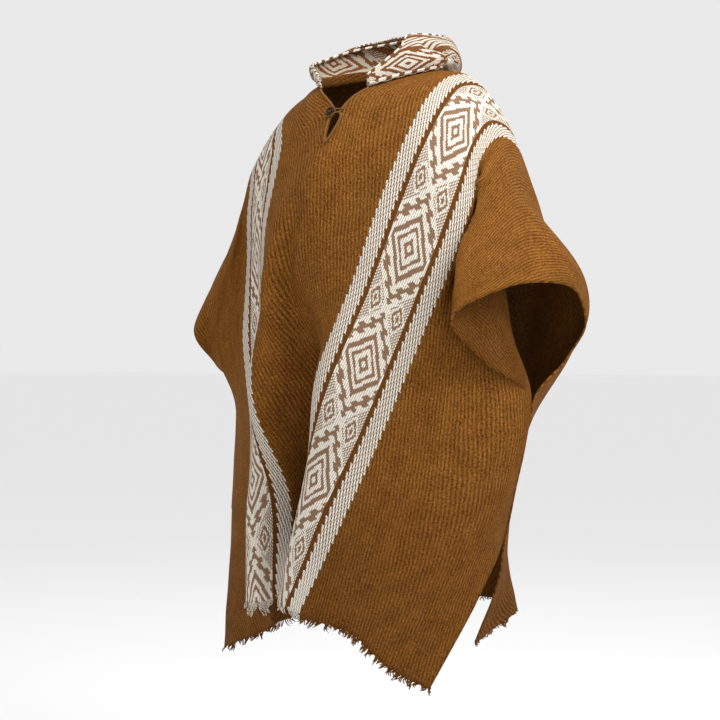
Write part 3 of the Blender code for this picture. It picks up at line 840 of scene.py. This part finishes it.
def drape(across, along):
    """How far the cloth stands out from its folds, in mm: soft waves that grow down the skirt, unevenness,
    and the crease between the left band and the fold at the front of its sleeve."""
    down = np.abs(along)
    skirt = ease(down, 260, 880)
    waves = np.sin(across / 21 + 0.9 * np.sin(along / 190) + 0.7) * 1.6 * skirt
    waves += np.sin(across / 47 - along / 260 + 2.1) * 2.2 * skirt
    uneven = np.sin(across / 33 + along / 71 + 1.1) * np.sin(along / 57 - across / 90)
    uneven += 0.7 * np.sin(across / 17 - along / 39 + 4.0) * np.sin(across / 63 + along / 29)
    hem = np.sin(across / 11 + 2.0 * np.sin(across / 70)) * 1.5 * ease(down, 800, 900)
    sleeve = ease(along, 30, 110) * (1 - ease(along, 290, 380))
    crease = bump(across, *SLEEVE_CREASE) * CREASE_DEPTH
    sleeve = sleeve * (bump(across, *SLEEVE_FOLD) * FOLD_HEIGHT - crease)
    return waves + uneven * 0.8 + hem + sleeve


def dressed_half(side, columns, rows):
    """Points of one half of the cloth, with its waves. They stay away from the neck slit and its edging."""
    sheet = open_slit(side, rows, half_cloth(side, columns, rows), columns)
    beside = np.gradient(sheet, axis=1)
    below = np.gradient(sheet, axis=0)
    outward = unit(np.cross(beside, below) * -side)
    across, along = np.meshgrid(columns, rows)
    calm = 1 - ease(60 - across, 0, 60) * ease(SLIT_END + 40 - np.abs(along), 0, 60)
    seamed = (across > HALF_WIDTH - 1) & (np.abs(along) >= SEAM_TOP) & (np.abs(along) <= SEAM_END)
    sheet[:, :, 1] += np.where(seamed, np.copysign(SEAM_HALF_GAP - 0.4, -along), 0)
    return sheet + outward * (drape(across * side, along) * calm)[:, :, None]


def add_cloth(paint, reverse):
    """Both panels as the one cloth that they are, open at the neck."""
    columns = np.array(steps(CLOTH_COLUMNS, COLUMN_STEP))
    front = steps(FRONT_ROWS, ROW_STEP)
    back = steps(BACK_ROWS, ROW_STEP)
    rows = np.array([-along for along in reversed(back[1:])] + front)
    points, measures, faces = [], [], []
    index = {}
    for side in (-1, 1):
        sheet = dressed_half(side, columns, rows)
        for row, along in enumerate(rows):
            open_here = -NECK_BACK < along < SLIT_END
            for column, across in enumerate(columns):
                if side > 0 and column == 0 and not open_here:
                    index[side, row, column] = index[-1, row, column]
                    continue
                index[side, row, column] = len(points)
                points.append(sheet[row, column])
                measures.append((side * across, along))
        for row in range(len(rows) - 1):
            for column in range(len(columns) - 1):
                around = ((row, column), (row + 1, column), (row + 1, column + 1), (row, column + 1))
                faces.append([index[side, *corner] for corner in around[::side]])
    made = piece("cloth", points, faces, measures, paint)
    thicken(made, THICKNESS, reverse)
    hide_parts("front_panel", "back_panel")
    return made


def hood_hollow(place, up):
    """How deep the hollow at the hood's left end is, in mm. It runs down to the seam, away from the front."""
    top_place, top_up = HOLLOW_TOP
    along = (top_place - place + top_up - up) / 2
    aside = (top_place - place - top_up + up) / math.sqrt(2)
    inside = ease(along, *HOLLOW_START) * (1 - ease(along, *HOLLOW_END))
    return HOLLOW_DEPTH * bump(aside, 0, HOLLOW_WIDTH) * inside


def add_hood(paint, reverse):
    """The rolled hood, with small waves, a hollow, and its back a little higher than in the table."""
    rows = hood_rows(10, 7)
    ups = np.array([run_of(row) for row in rows])
    round_neck = run_of(rows[:, 0])
    place = round_neck[:, None]
    waves = np.sin(ups / 13 + place / 31) * np.sin(place / 23 + 1) * 1.3
    waves *= np.clip(ups / 30, 0, 1)
    waves += HOOD_LIFT * bump(place, *HOOD_BACK) * np.clip(ups / 100, 0, 1)
    inward = unit(np.cross(np.gradient(rows, axis=0), np.gradient(rows, axis=1)))
    sunk = rows + inward * hood_hollow(place, ups)[:, :, None]
    points = sunk.reshape(-1, 3) + np.array([0, 0, 1]) * waves.reshape(-1, 1)
    measures = [(up, round_neck[row]) for row in range(len(rows)) for up in ups[row]]
    faces = grid_faces(*rows.shape[:2])
    made = piece("hood_cloth", points, faces, measures, paint)
    thicken(made, THICKNESS, reverse)
    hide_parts("hood")
    return made, rows


def tube(name, line, radii, paint, sides):
    """A round cord through the points of a line, in mm, with its girth and length as its measures."""
    line = [Vector(p) for p in line]
    radii = np.broadcast_to(radii, len(line))
    points, measures = [], []
    length = 0.0
    side = Vector((0, 0, 1))
    for i, here in enumerate(line):
        ahead = (line[min(i + 1, len(line) - 1)] - line[max(i - 1, 0)]).normalized()
        side = (side - ahead * side.dot(ahead)).normalized()
        other = ahead.cross(side)
        length += (here - line[i - 1]).length if i else 0.0
        for turn in range(sides + 1):
            angle = math.tau * turn / sides
            points.append(here + (side * math.cos(angle) + other * math.sin(angle)) * radii[i])
            measures.append((radii[i] * angle, length))
    ring = sides + 1
    last = (len(line) - 1) * ring
    faces = grid_faces(len(line), ring)
    faces += [tuple(reversed(range(sides))), tuple(range(last, last + sides))]
    return piece(name, points, faces, measures, paint)


def curve_through(stops, count):
    """count points evenly on a smooth curve through the stops."""
    stops = np.array([tuple(s) for s in stops], float)
    knots = run_of(stops)
    return through(knots, stops, np.linspace(0, knots[-1], count))


def add_seam_roll(rows, paint):
    """The thick seam where the hood is sewn to the neck, from its left front end round the back."""
    line = rows[:, 0]
    path = line + unit(rows[:, 1] - line) * ROLL_OUT + np.array([0, 0, 0.2])
    count = len(path)
    radii = [ROLL_RADIUS * min(1, 0.45 + i / 6, 0.45 + (count - 1 - i) / 6) for i in range(count)]
    return tube("hood_seam_roll", path, radii, paint, 12)


def add_hood_hem(rows, paint):
    """The turned edge of the hood's face opening."""
    return tube("hood_hem", rows[:, -1], HEM_RADIUS, paint, 8)


def edge_line(side, start, end, inset, height, count):
    """count points along the slit's edge on one side, this far in from it and this high over the cloth."""
    return [lifted(side, inset, along, height)[0] for along in np.linspace(start, end, count)]


def add_neck_edges(paint):
    """The rolled edge of the neck, from the hood's ends down to the button, on both sides."""
    made = []
    for side, name in ((-1, "neck_edge_right"), (1, "neck_edge_left")):
        line = edge_line(side, NECK_EDGE_TOP, SLIT_TOP - 2, NECK_EDGE_INSET, NECK_EDGE_HEIGHT, 24)
        made.append(tube(name, line, NECK_EDGE_RADIUS, paint, 8))
    return made


def add_slit_edging(paint):
    """The whipped yarn round the slit below the button."""
    height = THICKNESS / 2 + 0.6
    down, up = [edge_line(side, SLIT_TOP - 2, SLIT_END, EDGING_INSET, height, 16) for side in (1, -1)]
    turn = lifted(1, 0, SLIT_END + 4.5, height)[0]
    line = curve_through([*down, turn, *reversed(up)], 60)
    made = tube("whipped_edge", line, EDGING_RADIUS, paint, 8)
    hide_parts("slit_edging")
    return made


def button_seat():
    """The button's middle, and the direction that its face looks in."""
    height = THICKNESS / 2 + SEAM_GAP + BUTTON_CLEARANCE + BUTTON_THICKNESS / 2
    return lifted(-1, BUTTON_ACROSS, BUTTON_ALONG, height)


# The button's half section: how far from its middle, and how high over its back
BUTTON_SECTION = {
    "face, middle": (0, 2.4),
    "face, edge": (4.9, 2.4),
    "rim, foot": (5.6, 2.7),
    "rim, inside": (6.4, 3.5),
    "rim, top": (7.2, 3.6),
    "rim, outside": (7.8, 3.1),
    "side": (8.0, 2.2),
    "back, bevel": (7.6, 0.7),
    "back, edge": (6.6, 0),
    "back, middle": (0, 0),
}


def add_button(paint, thread):
    """The horn button with its raised rim, and two threads through its middle."""
    centre, outward = button_seat()
    turn = outward.to_track_quat("Z", "Y").to_matrix()
    around = 40
    points, faces = [], []
    for reach, up in BUTTON_SECTION.values():
        for i in range(around):
            angle = math.tau * i / around
            local = Vector((reach * math.cos(angle), reach * math.sin(angle), up - BUTTON_THICKNESS / 2))
            points.append(centre + turn @ local)
    for ring in range(len(BUTTON_SECTION) - 1):
        for i in range(around):
            a, b = ring * around + i, ring * around + (i + 1) % around
            faces.append((a, a + around, b + around, b))
    made = piece("horn_button", points, faces, [(0, 0)] * len(points), paint)
    bm = bmesh.new()
    bm.from_mesh(made.data)
    bmesh.ops.remove_doubles(bm, verts=bm.verts, dist=1e-6)
    bmesh.ops.recalc_face_normals(bm, faces=bm.faces)
    bm.to_mesh(made.data)
    bm.free()
    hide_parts("button")
    for name, x in (("button_thread_1", -1.6), ("button_thread_2", 1.6)):
        arch = [Vector((x, s * 1.7, 1.0 + 0.8 * (1 - s * s))) for s in (-1, -0.5, 0, 0.5, 1)]
        line = [centre + turn @ place for place in arch]
        tube(name, line, THREAD_RADIUS, thread, 6)


def add_neck_tape(rows, paint):
    """The strip of brown cloth sewn inside the neck, over the hood's seam."""
    line = rows[:, 0]
    inward = unit(np.array([*NECK_CENTRE, 0]) - line * np.array([1, 1, 0]))
    keep = slice(6, len(rows) - 6)
    up = np.array([0, 0, 1])
    columns = [line[keep] + inward[keep] * reach + up * height for height, reach in NECK_TAPE]
    points = np.stack(columns, axis=1)
    lengths = run_of(points[:, 0])
    measures = [(PLAIN_CLOTH + height, length) for length in lengths for height, _ in NECK_TAPE]
    faces = grid_faces(*points.shape[:2])
    made = piece("neck_tape", points.reshape(-1, 3), faces, measures, paint)
    thicken(made, TAPE_THICKNESS, paint)
    return made


def add_button_loop(paint):
    """The cord that leaves the left edge of the slit, goes round the button and comes back."""
    centre, outward = button_seat()
    left = (Vector((1, 0, 0)) - outward * outward.x).normalized()
    up = outward.cross(left)
    reach = BUTTON_DIAMETER / 2 + LOOP_RADIUS + SEAM_GAP
    turns = [math.radians(40 + 280 * i / 12) for i in range(13)]
    ring = [centre + reach * (math.cos(turn) * left + math.sin(turn) * up) for turn in turns]
    low = THICKNESS / 2 + LOOP_RADIUS
    ends = [lifted(1, LOOP_ACROSS, BUTTON_ALONG + below, low)[0] for below in (-8, -4)]
    line = curve_through(ends[:1] + ring + ends[1:], 70)
    made = tube("cord_loop", line, LOOP_RADIUS, paint, 8)
    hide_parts("button_loop")
    return made


def hem_line(toward, side):
    """(columns, above, end): the last two rows of one half of a hem, from the middle out."""
    columns = np.array(steps(CLOTH_COLUMNS, COLUMN_STEP))
    rows = np.array([HALF_LENGTH - 14, HALF_LENGTH]) * toward
    sheet = dressed_half(side, columns, np.sort(rows))
    return (columns, *sheet[::toward])


def along_line(columns, line, out):
    """The point of a row of the cloth that is this far out from the middle."""
    return Vector([np.interp(out, columns, line[:, axis]) for axis in range(3)])


def hem_frame(columns, above, end, across):
    """(start, down, beside, out): where a yarn leaves the hem, and the cloth's directions there."""
    start = along_line(columns, end, across)
    down = (start - along_line(columns, above, across)).normalized()
    beside = along_line(columns, end, across + 3) - along_line(columns, end, across - 3)
    beside.normalize()
    return start, down, beside, beside.cross(down).normalized()


def prism_faces(first, rings, sides):
    """The faces of a closed rod, whose rings of points follow one another from the first point."""
    faces = []
    for step in range(rings - 1):
        for corner in range(sides):
            a = first + step * sides + corner
            b = first + step * sides + (corner + 1) % sides
            faces.append((a, b, b + sides, a + sides))
    end = first + rings * sides
    faces.append(tuple(range(end - 1, end - 1 - sides, -1)))
    faces.append(tuple(range(first, first + sides)))
    return faces


def add_fringe(name, toward, node, paint):
    """The cut ends of the warp: short yarns that mat together in ragged, curling tufts."""
    chance = random.Random(11 + toward)
    points, measures, faces = [], [], []
    for side in (-1, 1):
        hem = hem_line(toward, side)
        middle = 0.0
        while middle < HALF_WIDTH - 1:
            width = chance.uniform(*TUFT_WIDTH)
            length = chance.uniform(*TUFT_LENGTH)
            aside, forward = chance.uniform(*TUFT_ASIDE), chance.uniform(*TUFT_FORWARD)
            curl, phase = chance.uniform(*TUFT_CURL), chance.uniform(0, math.tau)
            for yarn in range(round(width / YARN_STEP)):
                across = min(middle + (yarn + 0.5) * YARN_STEP, HALF_WIDTH)
                start, down, beside, out = hem_frame(*hem, across)
                gather = (middle + width / 2 - across) * chance.uniform(*YARN_GATHER)
                banded = abs(across - BAND_MIDDLE) < STRIP_HALF
                own = length * chance.uniform(*YARN_SHARE) * (BAND_FRINGE if banded else 1)
                thick = chance.uniform(*YARN_RADIUS)
                faces += prism_faces(len(points), YARN_RINGS, YARN_SIDES)
                for step in range(YARN_RINGS):
                    share = step / (YARN_RINGS - 1)
                    turn = phase + yarn * 0.5 + share * 5
                    sway = (gather + aside * share) * share + curl * share * math.cos(turn)
                    bow = forward * share * share + curl * share * math.sin(turn)
                    place = start + down * (own * share - 3) + beside * sway + out * bow
                    radius = thick * (1 - 0.3 * share ** 3)
                    for corner in range(YARN_SIDES):
                        angle = math.tau * corner / YARN_SIDES + share
                        points.append(place + (beside * math.cos(angle) + out * math.sin(angle)) * radius)
                        measures.append((side * across, toward * (HALF_LENGTH + own * share)))
            middle += width + (chance.uniform(*TUFT_GAP) if chance.random() < GAP_CHANCE else 0)
    made = piece(name, points, faces, measures, paint)
    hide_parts(node)
    return made


def add_light(name, azimuth, elevation, distance, size, power):
    """A soft square light that looks at the chest. Azimuth 0 is in front of it."""
    made = bpy.data.lights.new(name, "AREA")
    made.shape, made.size, made.energy = "SQUARE", size, power
    lamp = placed(name, made)
    turn, rise = math.radians(azimuth), math.radians(elevation)
    away = Vector((math.sin(turn) * math.cos(rise), -math.cos(turn) * math.cos(rise), math.sin(rise)))
    lamp.location = CHEST + away * distance
    lamp.rotation_euler = away.to_track_quat("Z", "Y").to_euler()


def add_studio():
    """The pale floor, the even light all round and the lights."""
    floor = bpy.data.meshes.new("floor")
    corners = [(x * FLOOR_REACH, y * FLOOR_REACH, FLOOR) for x, y in ((-1, -1), (1, -1), (1, 1), (-1, 1))]
    floor.from_pydata(corners, [], [(0, 1, 2, 3)])
    floor.materials.append(pale_floor())
    ground = placed("floor", floor)
    world = bpy.data.worlds.new("studio")
    world.use_nodes = True
    sky = world.node_tree.nodes["Background"]
    sky.inputs["Color"].default_value = (1, 1, 1, 1)
    sky.inputs["Strength"].default_value = WORLD_STRENGTH
    bpy.context.scene.world = world
    for name, values in LIGHTS.items():
        add_light(name, *values)
    bpy.context.scene.view_settings.view_transform = "Standard"


def add_camera():
    """A level camera to the wearer's left of the front, as in the photograph."""
    turn = math.radians(CAMERA_TURN)
    right = Vector((math.cos(turn), math.sin(turn), 0))
    target = Vector((0, 0, CAMERA_HEIGHT)) - CAMERA_ASIDE * right
    away = Vector((math.sin(turn), -math.cos(turn), 0))
    lens = bpy.data.cameras.new("camera")
    lens.lens = lens.sensor_width * CAMERA_DISTANCE / FRAME_WIDTH
    camera = placed("camera", lens)
    camera.location = target + away * CAMERA_DISTANCE
    camera.rotation_euler = away.to_track_quat("Z", "Y").to_euler()
    bpy.context.scene.camera = camera


def dress():
    yarn = whipped_yarn()
    reverse = cloth_reverse()
    cloth = add_cloth(cloth_face(), reverse)
    hood, rows = add_hood(hood_weave(*HOOD_FACE), hood_weave(*HOOD_REVERSE))
    checked = hood_roll()
    roll = add_seam_roll(rows, checked)
    hem = add_hood_hem(rows, checked)
    # The neck tape uses the reverse's finish, so it carries the reverse's painted shade
    tape = add_neck_tape(rows, reverse)
    edges = add_neck_edges(yarn)
    edging = add_slit_edging(yarn)
    add_button(dark_horn(), yarn)
    loop = add_button_loop(yarn)
    cut = fringe_yarn()
    front = add_fringe("front_yarns", 1, "fringe_front", cut)
    back = add_fringe("back_yarns", -1, "fringe_back", cut)


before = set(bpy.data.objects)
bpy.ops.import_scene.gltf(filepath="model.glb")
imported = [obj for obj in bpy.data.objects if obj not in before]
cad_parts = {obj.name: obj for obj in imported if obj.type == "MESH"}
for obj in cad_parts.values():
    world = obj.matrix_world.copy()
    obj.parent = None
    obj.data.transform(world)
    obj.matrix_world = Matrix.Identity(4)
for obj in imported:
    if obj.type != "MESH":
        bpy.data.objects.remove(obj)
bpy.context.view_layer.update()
add_camera()
add_studio()
dress()
